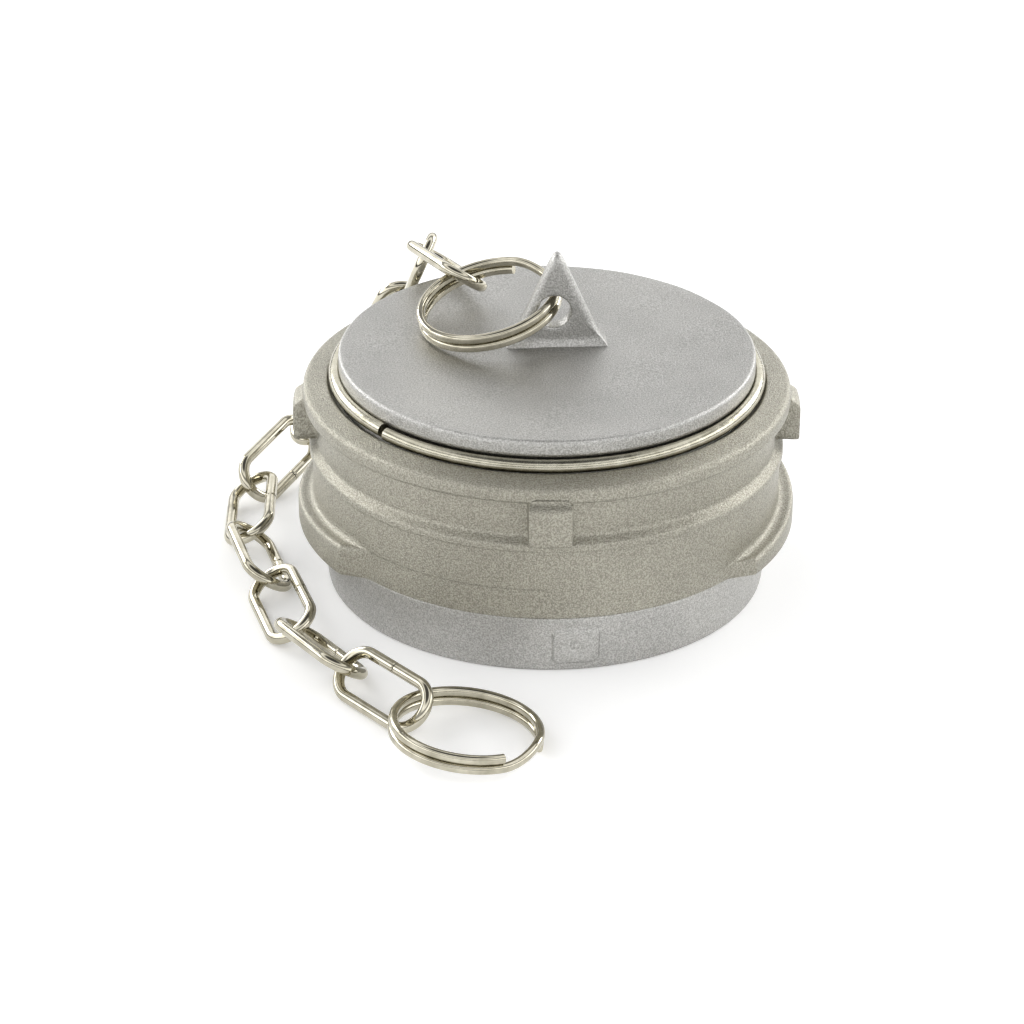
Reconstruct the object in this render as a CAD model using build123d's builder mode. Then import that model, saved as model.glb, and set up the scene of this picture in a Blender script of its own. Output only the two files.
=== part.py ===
from build123d import *
import os
from math import cos, degrees, hypot, radians, sin, sqrt, tan

os.makedirs("parts", exist_ok=True)

# Blind cap with a rotating locking ring, nominal size 50.
# Millimetres, +Z up. The origin is on the cap's axis, in the plane of its mating rim.

# Cap body
cup_radius = 32.6
hub_wall = 5.35
disc_edge = 2.95
disc_bevel = 0.5
disc_thickness = 4.6
cup_corner = 4.0
band_height = 11.4
band_wall = 2.8
band_flare = 1.3
band_edge_round = 0.5

# Locking ring
ring_height = 27.4
ring_float = 0.3
ring_bore_clearance = 0.3
neck_wall = 3.75
flange_reach = 2.5
flange_drop = 1.1
flange_band = 2.8
rib_reach = 1.5
rib_width = 1.3
rib_slope = 1.3
rib_foot_height = 13.6
skirt_wall = 4.75
skirt_foot_wall = 4.45
ring_edge_round = 0.4
rib_edge_round = 0.2
ring_turn = 0.6

# Spanner lugs on the locking ring
spanner_lug_count = 4
spanner_lug_rise = 4.4
spanner_lug_width = 8.2
spanner_lug_face = 6.9
spanner_lug_slope = 2.2
spanner_lug_round = 1.3
spanner_lug_sink = 0.3
spanner_lug_root = 1.0

# Ramps that draw the mating half down
ramp_reach = 2.75
ramp_span = 52.6
ramp_end_slant = 18.0
ramp_low = 3.2
ramp_rise = 2.7
ramp_root = 1.0
ramp_seam_round = 0.8

# Retaining wire
wire_diameter = 2.5
wire_overhang = 0.6
wire_lift = 0.8
wire_rise = 0.4
wire_groove_clearance = 0.25
wire_gap = 1.0
wire_seat_clearance = 0.3
wire_gap_place = -48.0

# Face seal and its seat
seal_width = 4.75
seal_seat_height = 4.0
seal_lip = 1.6
seal_lip_grip = 1.0
seal_thickness = 3.6
seal_clearance = 0.25
seal_bevel = 0.5

# Stop lugs on the cap body
stop_lug_width = 8.1
stop_lug_height = 6.95
stop_lug_foot = 1.9
stop_lug_rise = 1.2
stop_lug_draft = 14.0
stop_lug_round = 0.8
stop_lug_angle = 7.3
pin_mark_radius = 0.85
pin_mark_width = 0.3
pin_mark_depth = 0.15

# Eye lug
eye_width = 17.4
eye_height = 18.1
eye_thickness = 3.3
eye_draft = 3.0
eye_tip_round = 1.6
eye_edge_round = 0.45
eye_foot_reach = 2.2
eye_foot_round = 2.6
eye_hole = 6.2
eye_hole_height = 6.6
eye_hole_offset = -0.6
eye_place = (1.7, 3.0)
eye_turn = 4.0

# Split rings, two coils each
split_ring_radius = 12.7
split_ring_wire_width = 1.55
split_ring_wire_height = 1.7
split_ring_wire_round = 0.72
split_ring_coil_gap = 0.1
split_ring_crossover = 50.0
upper_ring_lean = 13.0
upper_ring_back_lift = 8.0
upper_ring_end_place = 68.0
upper_ring_centre = (-10.6, 7.8)
upper_ring_lift = 5.25
lower_ring_lean = 7.5
lower_ring_high_side = 210.0
lower_ring_end_place = -10.0
lower_ring_hold = 9.9
lower_ring_bearing = -30.6

# Chain of bent-wire links
link_wire = 2.15
link_length = 24.0
link_width = 10.85
link_clearance = 0.7
link_seam = 0.2
link_roll = 33.0
last_link_roll = 46.0
floor_play = 0.02

# Levels and fits that follow from the sizes above
disc_radius = cup_radius + hub_wall
seal_seat_radius = cup_radius + seal_width + seal_clearance
seal_lip_radius = seal_seat_radius - seal_lip_grip
band_foot_radius = seal_seat_radius + band_wall
band_top_radius = band_foot_radius + band_flare
ring_bottom = band_height + ring_float
ring_top = ring_bottom + ring_height
ring_bore = disc_radius + ring_bore_clearance
neck_radius = ring_bore + neck_wall
flange_radius = neck_radius + flange_reach
rib_radius = neck_radius + rib_reach
skirt_radius = ring_bore + skirt_wall
skirt_foot_radius = ring_bore + skirt_foot_wall
ramp_radius = skirt_radius + ramp_reach
spanner_lug_reach = neck_radius + spanner_lug_rise
stop_lug_reach = band_foot_radius + stop_lug_rise
wire_radius = wire_diameter / 2
wire_path_radius = disc_radius + wire_overhang
wire_height = ring_top + wire_lift
groove_radius = wire_radius + wire_groove_clearance
cap_height = wire_height + wire_radius + disc_edge + wire_groove_clearance
cup_ceiling = cap_height - disc_thickness
seal_top = seal_lip + seal_seat_height
rib_foot = ring_bottom + rib_foot_height
rib_top = rib_foot + rib_width
flange_top = ring_top - flange_drop
flange_foot = flange_top - flange_band
wire_low = wire_height - wire_rise / 2
wire_seat_reach = (wire_radius + wire_seat_clearance) * sqrt(2)


def radial_plane(angle, radius=0.0, height=0.0):
    """Plane that faces outwards from the axis, angle counted from the front towards +X."""
    outward = Vector(sin(radians(angle)), -cos(radians(angle)), 0)
    along = Vector(cos(radians(angle)), sin(radians(angle)), 0)
    return Plane(outward * radius + Vector(0, 0, height), x_dir=along, z_dir=outward)


def side_plane(angle):
    """Plane through the axis, its x pointing outwards and its y up, for radial sections."""
    outward = Vector(sin(radians(angle)), -cos(radians(angle)), 0)
    return Plane((0, 0, 0), x_dir=outward, z_dir=outward.cross(Vector(0, 0, 1)))


def reach(point):
    """Distance of a point from the axis."""
    return hypot(point.X, point.Y)


def corner(sketch, x, y):
    """The sketch's vertex at a point."""
    return sketch.vertices().sort_by_distance((x, y, 0))[0]


# Eye lug: a drafted triangular plate with rounded rims, cast on the disc.
eye_plane = Plane(
    (eye_place[0], eye_place[1], cap_height),
    x_dir=(cos(radians(eye_turn)), sin(radians(eye_turn)), 0),
    z_dir=(sin(radians(eye_turn)), -cos(radians(eye_turn)), 0),
)
eye_root = disc_edge / 2
eye_foot = eye_width / 2 + eye_foot_reach
eye_apex = eye_height + eye_tip_round * (hypot(eye_width / 2, eye_height) / (eye_width / 2) - 1)
with BuildPart() as eye_lug:
    with BuildSketch(eye_plane) as eye_outline:
        with BuildLine():
            Polyline(
                (-eye_foot, -eye_root),
                (eye_foot, -eye_root),
                (eye_foot, 0),
                (eye_width / 2, 0),
                (0, eye_apex),
                (-eye_width / 2, 0),
                (-eye_foot, 0),
                close=True,
            )
        make_face()
        fillet(corner(eye_outline, 0, eye_apex), eye_tip_round)
        fillet(corner(eye_outline, -eye_width / 2, 0), eye_foot_round)
        fillet(corner(eye_outline, eye_width / 2, 0), eye_foot_round)
    extrude(amount=eye_thickness / 2, both=True, taper=eye_draft)
    eye_faces = eye_lug.faces().sort_by(Axis.Y)
    face_rims = eye_faces[0].edges() + eye_faces[-1].edges()
    fillet(face_rims.filter_by(lambda rim: rim.center().Z > cap_height), eye_edge_round)
    with BuildSketch(eye_plane):
        with Locations((eye_hole_offset, eye_hole_height)):
            Circle(eye_hole / 2)
    extrude(amount=eye_thickness, both=True, mode=Mode.SUBTRACT)

# Stop lug: a drafted block on the lower band, with the round mark of an ejector pin.
stop_lug_middle = stop_lug_foot + stop_lug_height / 2
with BuildPart() as stop_lug:
    with BuildSketch(radial_plane(stop_lug_angle, stop_lug_reach, stop_lug_middle)):
        RectangleRounded(stop_lug_width, stop_lug_height, stop_lug_round)
    extrude(amount=-(stop_lug_reach - band_foot_radius + 1), taper=-stop_lug_draft)
    with BuildSketch(radial_plane(stop_lug_angle, stop_lug_reach, stop_lug_middle)):
        Circle(pin_mark_radius)
        Circle(pin_mark_radius - pin_mark_width, mode=Mode.SUBTRACT)
    extrude(amount=-pin_mark_depth, mode=Mode.SUBTRACT)

# Cap body: disc, hub, lower band and the seat for the seal, cast in one piece.
with BuildPart() as cap_body:
    with BuildSketch(Plane.XZ) as body_section:
        with BuildLine():
            Polyline(
                (0, cap_height),
                (disc_radius - disc_bevel, cap_height),
                (disc_radius, cap_height - disc_bevel),
                (disc_radius, band_height),
                (band_top_radius, band_height),
                (band_foot_radius, 0),
                (seal_lip_radius, 0),
                (seal_lip_radius, seal_lip),
                (seal_seat_radius, seal_lip),
                (seal_seat_radius, seal_top),
                (cup_radius, seal_top),
                (cup_radius, cup_ceiling),
                (0, cup_ceiling),
                close=True,
            )
        make_face()
        fillet(corner(body_section, band_top_radius, band_height), band_edge_round)
        fillet(corner(body_section, band_foot_radius, 0), band_edge_round)
        fillet(corner(body_section, cup_radius, cup_ceiling), cup_corner)
    revolve(axis=Axis.Z)
    with Locations((0, 0, wire_height)):
        Torus(wire_path_radius, groove_radius, mode=Mode.SUBTRACT)
    add(eye_lug.part)
    with PolarLocations(0, 2):
        add(stop_lug.part)
cap_body.part.label = "cap_body"

# Spanner lug: a block under the ring's flange with a flat outer face and a sloping top.
spanner_lug_foot = rib_top + rib_slope - spanner_lug_sink
spanner_lug_top = spanner_lug_foot + spanner_lug_face
with BuildPart() as spanner_lug:
    with BuildSketch(side_plane(ring_turn)):
        with BuildLine():
            Polyline(
                (neck_radius - spanner_lug_root, spanner_lug_foot),
                (spanner_lug_reach, spanner_lug_foot),
                (spanner_lug_reach, spanner_lug_top),
                (flange_radius - spanner_lug_round, spanner_lug_top + spanner_lug_slope),
                (neck_radius - spanner_lug_root, spanner_lug_top + spanner_lug_slope),
                close=True,
            )
        make_face()
    extrude(amount=spanner_lug_width / 2, both=True)
    fillet(spanner_lug.faces().sort_by(Axis.Y)[0].edges(), spanner_lug_round)

# Ramp: a wedge along the foot of the ring, with flat ends, that rises anticlockwise.
ramp_corner = sqrt(ramp_radius**2 - (ramp_span / 2) ** 2)
ramp_middle_reach = ramp_corner * tan(radians(ramp_end_slant))
ramp_outer_cut = (ramp_radius - ramp_corner) * tan(radians(ramp_end_slant))
with BuildPart() as ramp:
    with BuildSketch(Plane.XY.offset(ring_bottom)):
        with BuildLine():
            Polyline(
                (0, -ramp_span / 2 - ramp_middle_reach),
                (ramp_radius, -ramp_span / 2 + ramp_outer_cut),
                (ramp_radius, ramp_span / 2 - ramp_outer_cut),
                (0, ramp_span / 2 + ramp_middle_reach),
                close=True,
            )
        make_face()
        Circle(ramp_radius, mode=Mode.INTERSECT)
        Circle(skirt_foot_radius - ramp_root, mode=Mode.SUBTRACT)
    extrude(amount=ramp_low + ramp_rise)
    ramp_plane = Plane(
        (0, -ramp_span / 2, ring_bottom + ramp_low), z_dir=(0, -ramp_rise, ramp_span)
    )
    split(bisect_by=ramp_plane, keep=Keep.BOTTOM)

# Locking ring: flange, neck, rib and wall turned about the axis, with its lugs and ramps.
seat_radius = wire_path_radius + ring_top - wire_low + wire_seat_reach
seat_foot = wire_low + ring_bore - wire_path_radius - wire_seat_reach
with BuildPart() as locking_ring:
    with BuildSketch(Plane.XZ) as ring_section:
        with BuildLine():
            Polyline(
                (ring_bore, ring_bottom),
                (skirt_foot_radius, ring_bottom),
                (skirt_radius, rib_foot),
                (rib_radius, rib_foot),
                (rib_radius, rib_top),
                (neck_radius, rib_top + rib_slope),
                (neck_radius, flange_foot),
                (flange_radius, flange_foot),
                (flange_radius, flange_top),
                (seat_radius, ring_top),
                (ring_bore, seat_foot),
                close=True,
            )
        make_face()
        fillet(corner(ring_section, flange_radius, flange_top), ring_edge_round)
        fillet(corner(ring_section, flange_radius, flange_foot), ring_edge_round)
        fillet(corner(ring_section, neck_radius, flange_foot), ring_edge_round)
        fillet(corner(ring_section, rib_radius, rib_foot), rib_edge_round)
        fillet(corner(ring_section, rib_radius, rib_top), rib_edge_round)
        fillet(corner(ring_section, skirt_foot_radius, ring_bottom), ring_edge_round)
    revolve(axis=Axis.Z)
    with PolarLocations(0, spanner_lug_count):
        add(spanner_lug.part)
    with PolarLocations(0, 2, start_angle=ring_turn):
        add(ramp.part)
    ramp_seams = locking_ring.edges().filter_by(GeomType.ELLIPSE)
    fillet(ramp_seams.filter_by(lambda seam: reach(seam @ 0.5) < skirt_radius), ramp_seam_round)
locking_ring.part.label = "locking_ring"

# Retaining wire: one open turn that climbs slightly, so that one end stands above the other.
wire_gap_angle = degrees(wire_gap / wire_path_radius)
wire_start = wire_gap_place - 90 + wire_gap_angle / 2
with BuildPart() as wire_turn:
    with BuildLine() as wire_path:
        Helix(
            pitch=wire_rise * 360 / (360 - wire_gap_angle),
            height=wire_rise,
            radius=wire_path_radius,
        )
    with BuildSketch(Plane(wire_path.line @ 0, z_dir=wire_path.line % 0)):
        Circle(wire_radius)
    sweep()
with BuildPart() as retaining_wire:
    with Locations((0, 0, wire_low)):
        add(wire_turn.part, rotation=(0, 0, wire_start))
retaining_wire.part.label = "retaining_wire"

# Face seal: a rubber ring that sits against its seat, held by the lip below it.
seal_outer = seal_seat_radius - seal_clearance
with BuildPart() as face_seal:
    with BuildSketch(Plane.XZ) as seal_section:
        with Locations(((seal_outer + cup_radius) / 2, seal_top - seal_thickness / 2)):
            Rectangle(seal_outer - cup_radius, seal_thickness)
        chamfer(seal_section.vertices().group_by(Axis.Y)[0], seal_bevel)
    revolve(axis=Axis.Z)
face_seal.part.label = "face_seal"


def coil_section(angle, height):
    """Wire section of a split ring, in the radial plane at an angle."""
    outward = Vector(cos(radians(angle)), sin(radians(angle)), 0)
    centre = outward * split_ring_radius + Vector(0, 0, height)
    with BuildSketch(Plane(centre, x_dir=outward, z_dir=outward.cross(Vector(0, 0, 1)))) as section:
        RectangleRounded(split_ring_wire_width, split_ring_wire_height, split_ring_wire_round)
    return section.sketch


# Split ring: two flat coils joined by one crossover, where both wire ends show.
coil_step = split_ring_wire_height + split_ring_coil_gap
coil_arc = 360 - split_ring_crossover
crossover_sections = 6
with BuildPart() as split_ring:
    for height in (-coil_step / 2, coil_step / 2):
        revolve(coil_section(0, height), axis=Axis.Z, revolution_arc=coil_arc)
    crossing = []
    for step in range(crossover_sections + 1):
        share = step / crossover_sections
        climb = share * share * (3 - 2 * share)
        angle = coil_arc + split_ring_crossover * share
        crossing.append(coil_section(angle, coil_step * (climb - 0.5)))
    loft(crossing)

# Chain link: one bent wire whose ends meet in the middle of a long side.
link_pitch = link_length - 2 * link_wire - link_clearance
link_side = (link_width - link_wire) / 2
link_run = (link_length - link_width) / 2
with BuildPart() as link:
    with BuildLine():
        Line((link_seam / 2, link_side), (link_run, link_side))
        ThreePointArc((link_run, link_side), (link_run + link_side, 0), (link_run, -link_side))
        Line((link_run, -link_side), (-link_run, -link_side))
        ThreePointArc((-link_run, -link_side), (-link_run - link_side, 0), (-link_run, link_side))
        Line((-link_run, link_side), (-link_seam / 2, link_side))
    with BuildSketch(Plane((link_seam / 2, link_side, 0), z_dir=(1, 0, 0))):
        Circle(link_wire / 2)
    sweep()
    wire_ends = link.faces().filter_by(Axis.X).sort_by(SortBy.AREA)[:2]
    chamfer(wire_ends.edges(), link_seam)

# Upper split ring: through the eye, leaning on the disc.
lean = radians(upper_ring_lean)
back_lift = radians(upper_ring_back_lift)
upper_ring_x = Vector(cos(lean), 0, sin(lean))
upper_ring_normal = upper_ring_x.cross(Vector(0, cos(back_lift), sin(back_lift)))
upper_ring_plane = Plane(
    (upper_ring_centre[0], upper_ring_centre[1], cap_height + upper_ring_lift),
    x_dir=upper_ring_x,
    z_dir=upper_ring_normal,
)
with BuildPart() as upper_split_ring:
    with Locations(upper_ring_plane):
        add(split_ring.part, rotation=(0, 0, upper_ring_end_place))
upper_split_ring.part.label = "upper_split_ring"


def around(outside, bearing, height):
    """Point some link pitches outside the spanner lugs' sweep, at a bearing counted from +X."""
    radius = spanner_lug_reach + outside * link_pitch
    return Vector(radius * cos(radians(bearing)), radius * sin(radians(bearing)), height)


def chain_joints(route, pitch):
    """Points one pitch apart in a straight line, each on the route."""
    joints = [route[0]]
    for start, end in zip(route, route[1:]):
        run = end - start
        while (end - joints[-1]).length > pitch:
            offset = start - joints[-1]
            half = offset.dot(run)
            square = run.dot(run)
            rest = offset.dot(offset) - pitch**2
            joints.append(start + run * ((sqrt(half**2 - square * rest) - half) / square))
    return joints


# The chain's route: from the upper split ring over the rim, down behind the cap, along the floor.
floor_level = link_wire / 2 + link_side * sin(radians(link_roll)) + floor_play
last_link_level = link_wire / 2 + link_side * sin(radians(last_link_roll)) + floor_play
chain_route = [
    around(-1.246, 130.2, cap_height + 0.312 * link_pitch),
    around(-0.270, 123.5, cap_height + 0.203 * link_pitch),
    around(0.413, 119.6, cap_height - 0.557 * link_pitch),
    around(0.760, 124.5, 0.893 * link_pitch),
    around(0.827, 139.3, 0.358 * link_pitch),
    around(0.762, 156.9, 0.216 * link_pitch),
    around(0.502, 175.0, floor_level),
    around(0.311, 194.6, floor_level),
    around(0.461, 215.0, floor_level),
    around(0.655, 234.0, last_link_level),
    around(1.116, 252.9, last_link_level),
]
link_rolls = (-146.0, -56.8, -118.3, -176.0, -54.0, 30.0)
link_rolls += (-link_roll, link_roll, -link_roll, last_link_roll)
joints = chain_joints(chain_route, link_pitch)

chain_links = []
for number, (start, end) in enumerate(zip(joints, joints[1:])):
    along = (end - start).normalized()
    level = Vector(0, 0, 1).cross(along).normalized()
    roll = radians(link_rolls[number])
    across = level * cos(roll) + along.cross(level) * sin(roll)
    link_plane = Plane((start + end) / 2, x_dir=along, z_dir=along.cross(across))
    with BuildPart() as chain_link:
        with Locations(link_plane):
            add(link.part)
    chain_link.part.label = f"chain_link_{number + 1:02d}"
    chain_links.append(chain_link)

# Lower split ring: on the floor at the chain's end, one side raised by the last link's wire.
lower_lean = radians(lower_ring_lean)
lower_ring_side = radians(lower_ring_high_side)
lower_ring_x = Vector(
    cos(lower_ring_side) * cos(lower_lean),
    sin(lower_ring_side) * cos(lower_lean),
    sin(lower_lean),
)
split_ring_half = (coil_step + split_ring_wire_height) / 2
split_ring_outside = split_ring_radius + split_ring_wire_width / 2
lower_ring_place = radians(lower_ring_bearing)
lower_ring_plane = Plane(
    (
        joints[-1].X + lower_ring_hold * cos(lower_ring_place),
        joints[-1].Y + lower_ring_hold * sin(lower_ring_place),
        split_ring_half * cos(lower_lean) + split_ring_outside * sin(lower_lean) + floor_play,
    ),
    x_dir=lower_ring_x,
    z_dir=lower_ring_x.cross(Vector(-sin(lower_ring_side), cos(lower_ring_side), 0)),
)
with BuildPart() as lower_split_ring:
    with Locations(lower_ring_plane):
        add(split_ring.part, rotation=(0, 0, lower_ring_end_place - lower_ring_high_side))
lower_split_ring.part.label = "lower_split_ring"

pieces = [cap_body, locking_ring, retaining_wire, face_seal, upper_split_ring]
pieces += chain_links + [lower_split_ring]
for piece in pieces:
    export_step(piece.part, f"parts/{piece.part.label}.step")
print("chain joints", [tuple(round(value, 2) for value in joint) for joint in joints])
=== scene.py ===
from math import asin, cos, pi, radians, sin, sqrt, tan

import bmesh
import bpy
import numpy as np
from mathutils import Matrix, Vector


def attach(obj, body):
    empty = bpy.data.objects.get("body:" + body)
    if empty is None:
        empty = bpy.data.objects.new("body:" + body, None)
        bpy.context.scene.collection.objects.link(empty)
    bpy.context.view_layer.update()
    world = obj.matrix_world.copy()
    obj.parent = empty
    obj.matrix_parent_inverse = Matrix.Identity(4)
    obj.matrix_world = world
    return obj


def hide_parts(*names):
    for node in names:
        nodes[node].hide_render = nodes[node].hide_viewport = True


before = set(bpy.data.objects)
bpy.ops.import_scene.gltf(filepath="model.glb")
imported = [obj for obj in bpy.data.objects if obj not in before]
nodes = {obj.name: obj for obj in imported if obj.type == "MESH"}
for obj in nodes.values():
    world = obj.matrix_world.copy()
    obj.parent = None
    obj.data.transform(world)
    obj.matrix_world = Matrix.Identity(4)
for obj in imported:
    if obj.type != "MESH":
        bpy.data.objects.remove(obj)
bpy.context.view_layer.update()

print("frame loaded:", len(nodes), "CAD nodes")


def linearColour(hexCode):
    # sRGB hex to the linear colour that Blender's sockets take
    channels = np.array([int(hexCode[i:i + 2], 16) for i in (0, 2, 4)]) / 255
    curved = ((channels + 0.055) / 1.055) ** 2.4
    linear = np.where(channels <= 0.04045, channels / 12.92, curved)
    return (*linear.tolist(), 1.0)


def addNode(tree, kind, settings=None, links=None):
    # adds a node, sets its sockets (or its own settings) by name, then links sources into its sockets
    node = tree.nodes.new(kind)
    for name, value in (settings or {}).items():
        if name in node.inputs:
            node.inputs[name].default_value = value
        else:
            setattr(node, name, value)
    for name, source in (links or {}).items():
        tree.links.new(source, node.inputs[name])
    return node


def newMaterial(name):
    material = bpy.data.materials.new(name)
    material.use_nodes = True
    material.node_tree.nodes.clear()
    return material, material.node_tree


# Materials

def grainedSurface(name, look):
    # a noise of grainSize gives the tone (dark to light over toneRange), the roughness and the bump;
    # a second noise of cloudSize, where there is one, dims the tone by up to clouding
    material, tree = newMaterial(name)
    place = addNode(tree, "ShaderNodeTexCoord")
    grain = addNode(tree, "ShaderNodeTexNoise",
                    {"Scale": 1 / look["grainSize"], "Detail": look["grainDetail"], "Roughness": 0.6},
                    {"Vector": place.outputs["Object"]})
    tone = addNode(tree, "ShaderNodeValToRGB", links={"Fac": grain.outputs["Fac"]})
    for element, position, shade in zip(tone.color_ramp.elements, look["toneRange"], ("dark", "light")):
        element.position = position
        element.color = linearColour(look[shade])
    colour = tone.outputs["Color"]
    if "cloudSize" in look:
        clouds = addNode(tree, "ShaderNodeTexNoise",
                         {"Scale": 1 / look["cloudSize"], "Detail": 3.0, "Roughness": 0.55},
                         {"Vector": place.outputs["Object"]})
        cloudTone = addNode(tree, "ShaderNodeMapRange",
                            {"From Min": 0.35, "From Max": 0.65,
                             "To Min": 1 - look["clouding"], "To Max": 1.0},
                            {"Value": clouds.outputs["Fac"]})
        colour = addNode(tree, "ShaderNodeVectorMath", {"operation": "SCALE"},
                         {"Vector": colour, "Scale": cloudTone.outputs["Result"]}).outputs["Vector"]
    roughness = addNode(tree, "ShaderNodeMapRange",
                        {"From Min": 0.3, "From Max": 0.7,
                         "To Min": look["roughness"][0], "To Max": look["roughness"][1]},
                        {"Value": grain.outputs["Fac"]})
    bump = addNode(tree, "ShaderNodeBump", {"Strength": look["bump"], "Distance": look["grainDepth"]},
                   {"Height": grain.outputs["Fac"]})
    shader = addNode(tree, "ShaderNodeBsdfPrincipled", {"Metallic": look["metallic"]},
                     {"Base Color": colour, "Roughness": roughness.outputs["Result"],
                      "Normal": bump.outputs["Normal"]})
    addNode(tree, "ShaderNodeOutputMaterial", links={"Surface": shader.outputs["BSDF"]})
    return material


# Sizes in metres. The castings' grain of 0.28 mm is drawn a little coarser than real blasting, to show.
# cast aluminium, shot-blasted: matt, with fine bright grains, faint clouds and no clear reflection
bodyCasting = grainedSurface("blastedAluminiumBody", {
    "light": "cfcecb", "dark": "a8a7a3", "toneRange": (0.4, 0.62), "grainSize": 0.00028, "grainDetail": 2.0,
    "grainDepth": 0.00014, "bump": 0.9, "cloudSize": 0.025, "clouding": 0.16, "roughness": (0.46, 0.3),
    "metallic": 1.0})
# the same blasting on a yellower alloy: a warmer grey with a slightly deeper grain
ringCasting = grainedSurface("blastedAluminiumRing", {
    "light": "b7b4a7", "dark": "908d82", "toneRange": (0.4, 0.62), "grainSize": 0.00028, "grainDetail": 2.0,
    "grainDepth": 0.00018, "bump": 1.0, "cloudSize": 0.02, "clouding": 0.1, "roughness": (0.44, 0.28),
    "metallic": 1.0})
# bare drawn steel: long soft highlights, a little uneven from the die
springWire = grainedSurface("drawnSpringSteel", {
    "light": "c8c4b4", "dark": "a5a18f", "toneRange": (0.3, 0.7), "grainSize": 0.003, "grainDetail": 4.0,
    "grainDepth": 0.00002, "bump": 0.15, "roughness": (0.15, 0.27), "metallic": 1.0})
# nickel plate on drawn steel: a clear, warm mirror, dulled here and there by handling
nickelWire = grainedSurface("nickelPlatedSteel", {
    "light": "d0cbba", "dark": "a6a18f", "toneRange": (0.3, 0.7), "grainSize": 0.004, "grainDetail": 4.0,
    "grainDepth": 0.00002, "bump": 0.15, "roughness": (0.0, 0.12), "metallic": 1.0})
# black rubber pressed in a metal mould: near black, its dull sheen broken by a fine dusty grain
sealRubber = grainedSurface("mouldedNitrileRubber", {
    "light": "2b2b2c", "dark": "171718", "toneRange": (0.35, 0.7), "grainSize": 0.0005, "grainDetail": 3.0,
    "grainDepth": 0.00003, "bump": 0.3, "roughness": (0.47, 0.65), "metallic": 0.0})
print("materials made")


facets = {"weld": 1e-6, "sharpEdge": 30}  # metres, degrees


def dressNode(node, material):
    # a CAD node keeps its mesh; its facets are welded and shaded smooth up to its real edges
    node.data.materials.clear()
    node.data.materials.append(material)
    node.data.polygons.foreach_set("use_smooth", np.ones(len(node.data.polygons), bool))
    weld = node.modifiers.new("weld", "WELD")
    weld.merge_threshold = facets["weld"]
    split = node.modifiers.new("split", "EDGE_SPLIT")
    split.split_angle = radians(facets["sharpEdge"])


finishOf = {"retaining_wire": springWire, "face_seal": sealRubber}
for nodeName, node in nodes.items():
    dressNode(node, finishOf.get(nodeName, nickelWire))
print("CAD nodes dressed")


# Castings, in millimetres until the mesh is made
meshing = {"cornerShare": 0.45, "cornerPoints": 5, "extraDensity": 6, "merge": 2e-6, "thinnest": 1e-6}


def carriedSection(keys, rounds, sideSteps):
    # a section through its key points (one row per place along the path): every corner is a quadratic curve
    # that leaves and meets its sides one rounding length away, and the sides are divided evenly
    parts = []
    for k, (rounding, steps) in enumerate(zip(rounds, sideSteps)):
        before, here, after = keys[:, k - 1], keys[:, k], keys[:, (k + 1) % keys.shape[1]]
        leave, meet = (here + (other - here) * np.minimum(
            rounding / np.maximum(np.linalg.norm(other - here, axis=1, keepdims=True), 1e-6),
            meshing["cornerShare"])
            for other in (before, after))
        t = np.linspace(0, 1, meshing["cornerPoints"] if rounding else 1)[None, :, None]
        parts.append((1 - t) ** 2 * leave[:, None] + 2 * t * (1 - t) * here[:, None]
                     + t ** 2 * meet[:, None])
        nextRound = rounds[(k + 1) % len(rounds)]
        reach = np.linalg.norm(here - after, axis=1, keepdims=True)
        goal = after + (here - after) * np.minimum(
            nextRound / np.maximum(reach, 1e-6), meshing["cornerShare"])
        share = (np.arange(1, steps + 1) / (steps + 1))[None, :, None]
        parts.append(meet[:, None] + (goal - meet)[:, None] * share)
    return np.concatenate(parts, axis=1)


def angleSteps(count, busyPlaces, radius):
    # angles round the axis, packed closer near the busy places (angle, half width in mm)
    fine = np.linspace(-pi, pi, 20001)
    density = np.ones_like(fine)
    for place, width in busyPlaces:
        away = np.abs((fine - place + pi) % (2 * pi) - pi) * radius
        density += meshing["extraDensity"] * np.exp(-(away / width) ** 4)
    total = np.concatenate([[0], np.cumsum((density[1:] + density[:-1]) / 2)])
    return np.interp(np.arange(count) / count * total[-1], total, fine)


def roundedBox(across, up, halfWidth, halfHeight, radius):
    # distance outside a rectangle with rounded corners, negative inside it
    sideways, upwards = np.abs(across) - halfWidth + radius, np.abs(up) - halfHeight + radius
    outside = np.hypot(np.maximum(sideways, 0), np.maximum(upwards, 0))
    return outside + np.minimum(np.maximum(sideways, upwards), 0) - radius


def fade(distance, width):
    # 1 inside, 0 outside, changing smoothly over a width centred on distance 0
    share = np.clip(0.5 - distance / width, 0, 1)
    return share * share * (3 - 2 * share)


def sweptGrid(columns, rows, closeRows):
    # four-sided faces of a grid that closes round its columns, and round its rows if asked
    column, row = np.meshgrid(np.arange(columns), np.arange(rows if closeRows else rows - 1), indexing="ij")
    after, above = (column + 1) % columns, (row + 1) % rows
    corners = (column * rows + row, after * rows + row, after * rows + above, column * rows + above)
    return np.stack(corners, axis=-1).reshape(-1, 4)


def turned(section, angles):
    # points of a section (radius, height) at each angle round the axis
    radius, height = section[..., 0], section[..., 1]
    return np.stack((radius * np.cos(angles)[:, None], radius * np.sin(angles)[:, None], height), axis=-1)


def sameWay(angles, place):
    # angle from a place, between -180 and 180 degrees
    return (angles - place + pi) % (2 * pi) - pi


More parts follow.
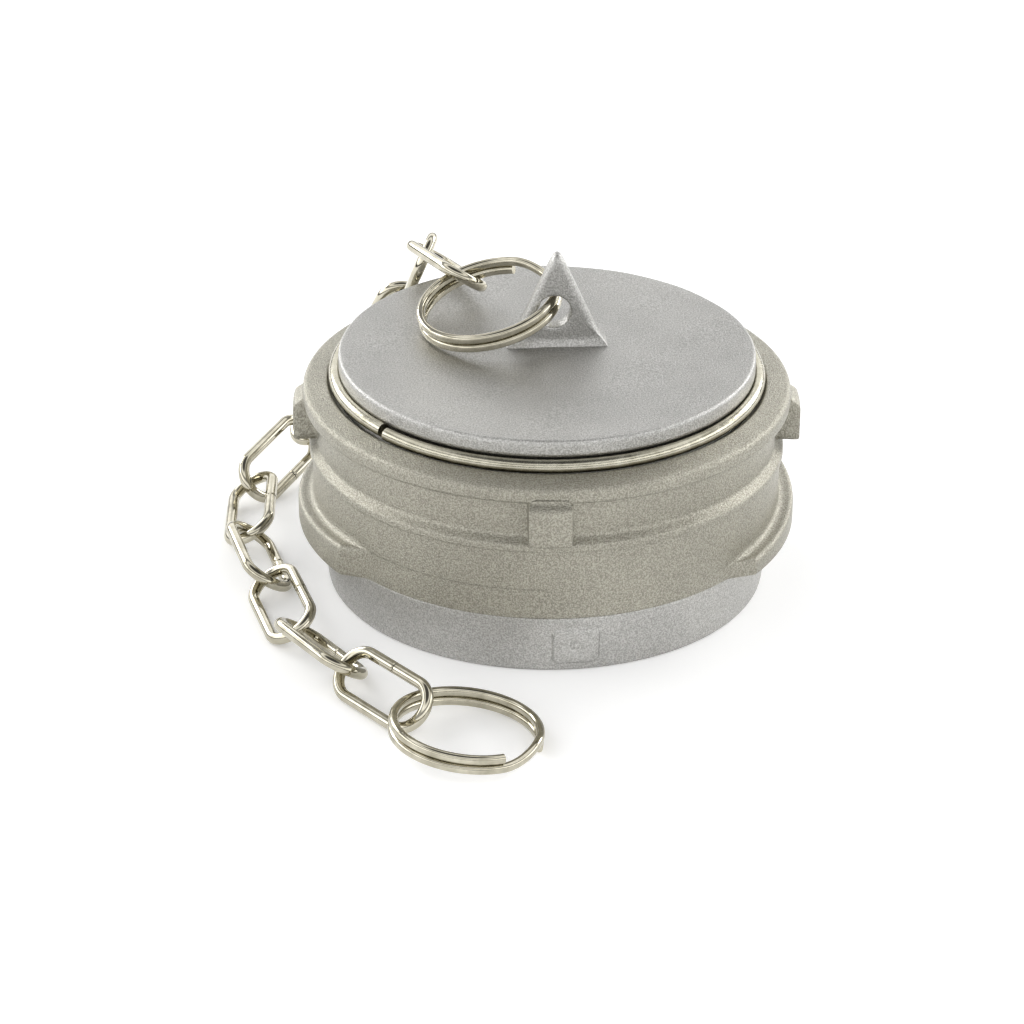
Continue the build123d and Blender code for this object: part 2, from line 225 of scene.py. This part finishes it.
def castPiece(name, surfaces, material, body, nodeName):
    points = np.concatenate([grid.reshape(-1, 3) for grid, faces in surfaces]) / 1000
    starts = np.cumsum([0] + [grid.size // 3 for grid, faces in surfaces[:-1]])
    faces = np.concatenate([faces + start for start, (grid, faces) in zip(starts, surfaces)])
    mesh = bpy.data.meshes.new(name)
    mesh.from_pydata(points.tolist(), [], faces.tolist())
    shape = bmesh.new()
    shape.from_mesh(mesh)
    bmesh.ops.remove_doubles(shape, verts=shape.verts, dist=meshing["merge"])
    bmesh.ops.dissolve_degenerate(shape, edges=shape.edges, dist=meshing["thinnest"])
    bmesh.ops.recalc_face_normals(shape, faces=shape.faces)
    shape.to_mesh(mesh)
    shape.free()
    mesh.polygons.foreach_set("use_smooth", np.ones(len(mesh.polygons), bool))
    mesh.materials.append(material)
    piece = bpy.data.objects.new(name, mesh)
    bpy.context.scene.collection.objects.link(piece)
    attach(piece, body)
    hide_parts(nodeName)
    print(name, "made with", len(mesh.polygons), "faces")
    return piece


# Locking ring
ring = {"bore": 38.25, "bottom": 11.7, "top": 39.1, "seatRadius": 40.142, "seatFoot": 37.208, "foot": 42.7,
        "wall": 43.0, "rib": 43.5, "ribFoot": 25.3, "ribTop": 26.6, "neck": 42.0, "neckFoot": 27.9,
        "neckRise": 0.9, "flange": 44.5, "flangeFoot": 35.2, "flangeTop": 38.0, "turn": 0.6, "columns": 620}
lugs = {"count": 4, "reach": 46.4, "foot": 27.6, "faceTop": 34.5, "slopeTop": 35.81, "halfWidth": 4.1,
        "cornerRound": 1.5, "side": 0.7, "footOut": 0.3, "closeWithin": 1.2}
ramps = {"radius": 45.75, "span": 52.6, "slant": 18.0, "low": 3.2, "rise": 2.7, "proud": 0.05,
         "closeWithin": 2.2, "samples": 7201, "blurSamples": 17}

lugPlaces = np.radians(ring["turn"] - 90 + 360 / lugs["count"] * np.arange(lugs["count"]))
rampCorner = sqrt(ramps["radius"] ** 2 - (ramps["span"] / 2) ** 2)
rampHalfAngle = asin(ramps["span"] / 2 / ramps["radius"])
rampEnds = [radians(ring["turn"]) + way * rampHalfAngle + half for way in (-1, 1) for half in (0, pi)]
busy = [(place + way * lugs["halfWidth"] / lugs["reach"], lugs["closeWithin"])
        for place in lugPlaces for way in (-1, 1)]
busy += [(end, ramps["closeWithin"]) for end in rampEnds]
ringAngles = angleSteps(ring["columns"], busy, ring["flange"])

# a ramp ends at a slanted line, so its reach at an angle is where the ray from the axis meets that line
rampAngle = (ringAngles - radians(ring["turn"]) + pi / 2) % pi - pi / 2
slope = tan(radians(ramps["slant"]))
endMiddle = ramps["span"] / 2 + rampCorner * slope
rampReach = endMiddle / (np.abs(np.sin(rampAngle)) + slope * np.cos(rampAngle))
wallReach = ring["foot"] + ramps["proud"]
softReach = np.clip(rampReach, wallReach, ramps["radius"])
evenAngles = np.linspace(-pi, pi, ramps["samples"])
evenReach = np.interp(evenAngles, ringAngles, softReach, period=2 * pi)
blur = np.hanning(ramps["blurSamples"])  # softens the ramps' ends over about half a millimetre
blur = blur / blur.sum()
evenReach = np.convolve(np.pad(evenReach, ramps["blurSamples"] // 2, mode="wrap"), blur, mode="valid")
softReach = np.interp(ringAngles, evenAngles, evenReach)
rampTop = ring["bottom"] + ramps["low"] + ramps["rise"] * (
    ramps["radius"] * np.sin(rampAngle) + ramps["span"] / 2) / ramps["span"]
rampTop = np.clip(rampTop, ring["bottom"] + ramps["low"], ring["bottom"] + ramps["low"] + ramps["rise"])
upWall = (rampTop - ring["bottom"]) / (ring["ribFoot"] - ring["bottom"])
wallAtRamp = ring["foot"] + (ring["wall"] - ring["foot"]) * upWall


def ringKeys(neckPart):
    # key points of the ring's section at every angle; neckPart gives the four between rib and flange
    flat = np.ones_like(ringAngles)
    keys = [(ring["bore"], ring["bottom"]), (softReach, ring["bottom"]), (softReach, rampTop),
            (wallAtRamp, rampTop), (ring["wall"], ring["ribFoot"]), (ring["rib"], ring["ribFoot"]),
            (ring["rib"], ring["ribTop"])]
    keys += neckPart
    keys += [(ring["flange"], ring["flangeTop"]), (ring["seatRadius"], ring["top"]),
             (ring["bore"], ring["seatFoot"])]
    return np.array([(radius * flat, height * flat) for radius, height in keys]).transpose(2, 0, 1)


# rounding at each key point, and how many rows divide the side after it
roundings = (0.3, 0.5, 0.9, 1.5, 0.3, 0.35, 0.35, 0.5, 0.7, 0.8, 0.8, 0.9, 0.3, 0.3)
sideCounts = (2, 2, 2, 6, 1, 2, 2, 2, 10, 3, 4, 5, 2, 6)
plainSection = carriedSection(ringKeys([
    (ring["neck"], ring["neckFoot"]), (ring["neck"], ring["neckFoot"] + ring["neckRise"]),
    (ring["neck"], ring["flangeFoot"]), (ring["flange"], ring["flangeFoot"])]), roundings, sideCounts)
lugSection = carriedSection(ringKeys([
    (ring["neck"] + lugs["footOut"], lugs["foot"]), (lugs["reach"], lugs["foot"]),
    (lugs["reach"], lugs["faceTop"]), (ring["flange"], lugs["slopeTop"])]), roundings, sideCounts)
fromLug = np.min(np.abs(sameWay(ringAngles[:, None], lugPlaces[None, :])), axis=1) * lugs["reach"]
lugMiddle, lugHalf = (lugs["foot"] + lugs["slopeTop"]) / 2, (lugs["slopeTop"] - lugs["foot"]) / 2
lugShare = fade(roundedBox(fromLug[:, None], lugSection[..., 1] - lugMiddle, lugs["halfWidth"],
                           lugHalf + lugs["side"], lugs["cornerRound"]), lugs["side"])[..., None]
ringSection = plainSection + (lugSection - plainSection) * lugShare
castPiece("lockingRingCasting",
          [(turned(ringSection, ringAngles), sweptGrid(*ringSection.shape[:2], True))],
          ringCasting, "ring", "locking_ring")

# Cap body: disc, hub, wire groove, lower band with two stop lugs, and the cup below. The disc's top is
# lowered by a faint wave, a product of two sines plus a third one across them, as a casting's face settles.
cap = {"top": 44.35, "disc": 37.95, "grooveCentre": (38.55, 39.9), "grooveRadius": 1.5, "band": 11.4,
       "bandTop": 41.7, "bandFoot": 40.4, "lip": 36.6, "lipHeight": 1.6, "seat": 37.6, "seatTop": 5.6,
       "cup": 32.6, "ceiling": 39.75, "edge": 0.7, "cupRound": 4.0, "columns": 520, "wave": 0.05}
stops = {"place": 7.3, "reach": 41.6, "foot": 1.9, "height": 6.95, "halfWidth": 4.05, "cornerRound": 1.2,
         "draft": 0.8, "side": 0.5, "pinMark": 0.75, "pinDepth": 0.3, "pinWidth": 0.3,
         "closeWithin": 5.2}
stopPlaces = np.radians(stops["place"] - 90 + np.array((0, 180)))
capAngles = angleSteps(cap["columns"], [(place, stops["closeWithin"]) for place in stopPlaces], cap["bandFoot"])
grooveHalf = asin(sqrt(1 - ((cap["grooveCentre"][0] - cap["disc"]) / cap["grooveRadius"]) ** 2))
grooveAngles = np.linspace(grooveHalf, -grooveHalf, 9)
grooveKeys = [(cap["grooveCentre"][0] - cap["grooveRadius"] * cos(angle),
               cap["grooveCentre"][1] + cap["grooveRadius"] * sin(angle)) for angle in grooveAngles]
capKeys = [(0, cap["top"]), (cap["disc"], cap["top"])] + grooveKeys
capKeys += [(cap["disc"], cap["band"]), (cap["bandTop"], cap["band"]), (cap["bandFoot"], 0), (cap["lip"], 0),
            (cap["lip"], cap["lipHeight"]), (cap["seat"], cap["lipHeight"]), (cap["seat"], cap["seatTop"]),
            (cap["cup"], cap["seatTop"]), (cap["cup"], cap["ceiling"]), (0, cap["ceiling"])]
capRounds = [0, cap["edge"]] + [0] * 9 + [0.3, 0.7, 0.7, 0.3, 0.3, 0.3, 0.3, 0.3, cap["cupRound"], 0]
capSides = [26, 3] + [0] * 8 + [5, 2, 38, 2, 1, 1, 3, 3, 8, 10, 0]
capSection = carriedSection(np.array(capKeys, float)[None], capRounds, capSides)
capSection = np.repeat(capSection, cap["columns"], axis=0)
radius, height = capSection[..., 0], capSection[..., 1]
onBand = (radius > cap["lip"] + 2) & (height < cap["band"])  # the outer face, well clear of the lip
fromStop = sameWay(capAngles[:, None], stopPlaces[None, :])
nearest = np.abs(fromStop).argmin(axis=1)
fromStop = fromStop[np.arange(cap["columns"]), nearest] * cap["bandFoot"]
stopUp = height - stops["foot"] - stops["height"] / 2
stopShare = fade(roundedBox(fromStop[:, None], stopUp, stops["halfWidth"], stops["height"] / 2,
                            stops["cornerRound"]), stops["side"])
pinRing = np.exp(-((np.hypot(fromStop[:, None], stopUp) - stops["pinMark"]) / stops["pinWidth"]) ** 2)
stopReach = stops["reach"] + stops["draft"] * stopUp / stops["height"]  # its face leans in towards its foot
stopRadius = np.maximum(radius, radius + (stopReach - radius) * stopShare) - stops["pinDepth"] * pinRing
radius = np.where(onBand, stopRadius, radius)
onTop = height > cap["top"] - 1
capPoints = turned(np.stack((radius, height), axis=-1), capAngles)
wave = (np.sin(capPoints[..., 0] / 4.7 + 1.1) * np.sin(capPoints[..., 1] / 5.9 + 0.4)
        + 0.6 * np.sin(capPoints[..., 0] / 2.9 - capPoints[..., 1] / 3.7)) - 1.6
capPoints[..., 2] += np.where(onTop, cap["wave"] * wave * np.clip(radius / 3, 0, 1), 0)

# Eye lug: its outline is carried in over the rounded edge and the face to the hole, then out over the other
# face. Its edges are rounded less towards the disc, and its foot flares there.
eye = {"place": (1.7, 3.0), "turn": 4.0, "width": 17.4, "height": 19.0, "halfThickness": 1.65,
       "footReach": 1.5, "root": 1.4, "rootRound": 0.3, "flankIn": 1.1, "flankFoot": 2.2, "tipRound": 3.0,
       "footRound": 1.6, "hole": 3.1, "holeAt": (-0.6, 6.6), "holeLip": 0.3, "edge": 1.6, "rimDepth": 1.1,
       "softFrom": -0.3, "softOver": 4, "softLeast": 0.08, "flare": 0.8, "flareHeight": 1.3}
halfWidth = eye["width"] / 2
outlineKeys = [(halfWidth + eye["footReach"], -eye["root"]), (halfWidth - eye["flankIn"], eye["flankFoot"]),
               (0, eye["height"]), (eye["flankIn"] - halfWidth, eye["flankFoot"]),
               (-halfWidth - eye["footReach"], -eye["root"])]
outlineRounds = [eye[key] for key in ("rootRound", "footRound", "tipRound", "footRound", "rootRound")]
outline = carriedSection(np.array(outlineKeys, float)[None], outlineRounds, [6, 20, 20, 6, 24])[0]
holeAt = np.array(eye["holeAt"])
inwards = holeAt - outline
away = np.linalg.norm(inwards, axis=1, keepdims=True)
inwards = inwards / away
rounding = np.linspace(0, pi / 2, 7)
soft = np.clip((outline[:, 1:] - eye["softFrom"]) / eye["softOver"], eye["softLeast"], 1)
insets = [eye["edge"] * soft * (1 - cos(angle)) for angle in rounding]
depths = [eye["halfThickness"] - eye["rimDepth"] * (1 - sin(angle)) for angle in rounding]
faceShares = np.linspace(0, 1, 9)[1:-1]
outsideIn = [outline + inwards * inset for inset in insets]
faceSpan = away - insets[-1] - eye["hole"] - eye["holeLip"]
outsideIn += [outline + inwards * (insets[-1] + faceSpan * share) for share in faceShares]
depths += [eye["halfThickness"]] * len(faceShares)
for outwards, deeper in ((1, 0), (0.3, 0.3), (0, 1)):  # the hole's rounded lip, in shares of its size
    outsideIn.append(holeAt - inwards * (eye["hole"] + outwards * eye["holeLip"]))
    depths.append(eye["halfThickness"] - deeper * eye["holeLip"])
flat = np.stack(outsideIn, axis=1)
depth = np.array(depths)[None, :] * np.ones(len(outline))[:, None]
depth = depth + eye["flare"] * np.clip(1 - flat[..., 1] / eye["flareHeight"], 0, 1) ** 2
flat = np.concatenate((flat, flat[:, ::-1]), axis=1)
depth = np.concatenate((depth, -depth[:, ::-1]), axis=1)
turn = radians(eye["turn"])
eyePoints = np.stack((eye["place"][0] + flat[..., 0] * cos(turn) + depth * sin(turn),
                      eye["place"][1] + flat[..., 0] * sin(turn) - depth * cos(turn),
                      cap["top"] + flat[..., 1]), axis=-1)
castPiece("capBodyCasting",
          [(capPoints, sweptGrid(*capPoints.shape[:2], False)),
           (eyePoints, sweptGrid(*eyePoints.shape[:2], True))],
          bodyCasting, "cap", "cap_body")


# Floor, light and camera
# lift is what the floor adds to its own brightness where a camera, glossy or transmission ray meets it
stageSizes = {"floorSize": 6.0, "floorColour": "ffffff", "lift": 0.16}
floorMesh = bpy.data.meshes.new("floor")
half = stageSizes["floorSize"] / 2
floorCorners = [(-half, -half, 0), (half, -half, 0), (half, half, 0), (-half, half, 0)]
floorMesh.from_pydata(floorCorners, [], [(0, 1, 2, 3)])
floor = bpy.data.objects.new("floor", floorMesh)
bpy.context.scene.collection.objects.link(floor)
floorMaterial, floorTree = newMaterial("paleFloor")
floorShader = addNode(floorTree, "ShaderNodeBsdfPrincipled",
                      {"Base Color": linearColour(stageSizes["floorColour"]), "Roughness": 0.9,
                       "Specular IOR Level": 0.1})
rays = addNode(floorTree, "ShaderNodeLightPath")
direct = addNode(floorTree, "ShaderNodeMath", {"operation": "ADD"})
floorTree.links.new(rays.outputs["Is Camera Ray"], direct.inputs[0])
floorTree.links.new(rays.outputs["Is Glossy Ray"], direct.inputs[1])
seen = addNode(floorTree, "ShaderNodeMath", {"operation": "MAXIMUM"})
floorTree.links.new(direct.outputs["Value"], seen.inputs[0])
floorTree.links.new(rays.outputs["Is Transmission Ray"], seen.inputs[1])
lift = addNode(floorTree, "ShaderNodeMath", {"operation": "MULTIPLY"})
floorTree.links.new(seen.outputs["Value"], lift.inputs[0])
lift.inputs[1].default_value = stageSizes["lift"]
glow = addNode(floorTree, "ShaderNodeEmission", {"Color": (1, 1, 1, 1)}, {"Strength": lift.outputs["Value"]})
floorSum = addNode(floorTree, "ShaderNodeAddShader")
floorTree.links.new(floorShader.outputs["BSDF"], floorSum.inputs[0])
floorTree.links.new(glow.outputs["Emission"], floorSum.inputs[1])
addNode(floorTree, "ShaderNodeOutputMaterial", links={"Surface": floorSum.outputs["Shader"]})
floorMesh.materials.append(floorMaterial)

world = bpy.data.worlds.new("studio")
bpy.context.scene.world = world
world.use_nodes = True
world.node_tree.nodes.clear()
# The studio's light by how high a direction points (0 level, 1 straight up): dark at the horizon, bright up
# to 30 degrees, dim to 45, bright again to 60 and dark overhead. It is weaker towards the camera and straight
# behind the object.
sky = world.node_tree
skyPlace = addNode(sky, "ShaderNodeTexCoord")
skySplit = addNode(sky, "ShaderNodeSeparateXYZ", links={"Vector": skyPlace.outputs["Generated"]})
skyRamp = addNode(sky, "ShaderNodeValToRGB", links={"Fac": skySplit.outputs["Z"]})
skyLevels = {0.0: 0.08, 0.1: 0.08, 0.15: 1.9, 0.4: 2.1, 0.5: 1.8, 0.54: 0.45, 0.7: 0.5, 0.76: 1.6, 0.86: 1.25,
             0.92: 0.15, 1.0: 0.1}
for position, level in skyLevels.items():
    marks = skyRamp.color_ramp.elements
    mark = marks[0] if position == 0 else marks[-1] if position == 1 else marks.new(position)
    mark.position = position
    mark.color = (level, level, level, 1)
frontShade = addNode(sky, "ShaderNodeMapRange",
                     {"From Min": -0.95, "From Max": -0.6, "To Min": 0.65, "To Max": 1.0},
                     {"Value": skySplit.outputs["Y"]})
backShade = addNode(sky, "ShaderNodeMapRange",
                    {"From Min": 0.5, "From Max": 0.9, "To Min": 1.0, "To Max": 0.77},
                    {"Value": skySplit.outputs["Y"]})
skyStrength = addNode(sky, "ShaderNodeMath", {"operation": "MULTIPLY"})
sky.links.new(frontShade.outputs["Result"], skyStrength.inputs[0])
sky.links.new(backShade.outputs["Result"], skyStrength.inputs[1])
skyShader = addNode(sky, "ShaderNodeBackground", {},
                    {"Color": skyRamp.outputs["Color"], "Strength": skyStrength.outputs["Value"]})
addNode(sky, "ShaderNodeOutputWorld", links={"Surface": skyShader.outputs["Background"]})

lamps = {
    "backLeftBox": {"at": (-0.8, 0.8, 0.5), "size": 0.5, "power": 4.0},
    "backRightBox": {"at": (0.8, 0.8, 0.5), "size": 0.5, "power": 3.6},
    "leftBox": {"at": (-0.9, 0.1, 0.4), "size": 0.4, "power": 0.5},
    "rightBox": {"at": (0.9, 0.1, 0.4), "size": 0.4, "power": 0.5},
}
for lampName, lamp in lamps.items():
    light = bpy.data.lights.new(lampName, "AREA")
    light.size = lamp["size"]
    light.energy = lamp["power"]
    lampObject = bpy.data.objects.new(lampName, light)
    lampObject.location = lamp["at"]
    lampObject.rotation_euler = (-Vector(lamp["at"])).to_track_quat("-Z", "Y").to_euler()
    bpy.context.scene.collection.objects.link(lampObject)

# Camera: right, up and back axes from its elevation and roll, in radians
view = {"at": (-0.006219, -0.61666, 0.33138), "elevation": 0.4794385, "roll": 0.0055772, "lens": 131.434}
tilt, roll = view["elevation"], view["roll"]
levelRight, levelUp = Vector((1, 0, 0)), Vector((0, sin(tilt), cos(tilt)))
cameraRight = levelRight * cos(roll) + levelUp * sin(roll)
cameraUp = levelUp * cos(roll) - levelRight * sin(roll)
cameraBack = Vector((0, -cos(tilt), sin(tilt)))
cameraData = bpy.data.cameras.new("camera")
cameraData.lens = view["lens"]
cameraData.sensor_width = 36.0
cameraData.clip_start, cameraData.clip_end = 0.01, 20.0
camera = bpy.data.objects.new("camera", cameraData)
cameraTurn = Matrix((cameraRight, cameraUp, cameraBack)).transposed().to_4x4()
camera.matrix_world = Matrix.Translation(view["at"]) @ cameraTurn
bpy.context.scene.collection.objects.link(camera)
bpy.context.scene.camera = camera
bpy.context.scene.view_settings.view_transform = "Standard"
print("stage, light and camera set")
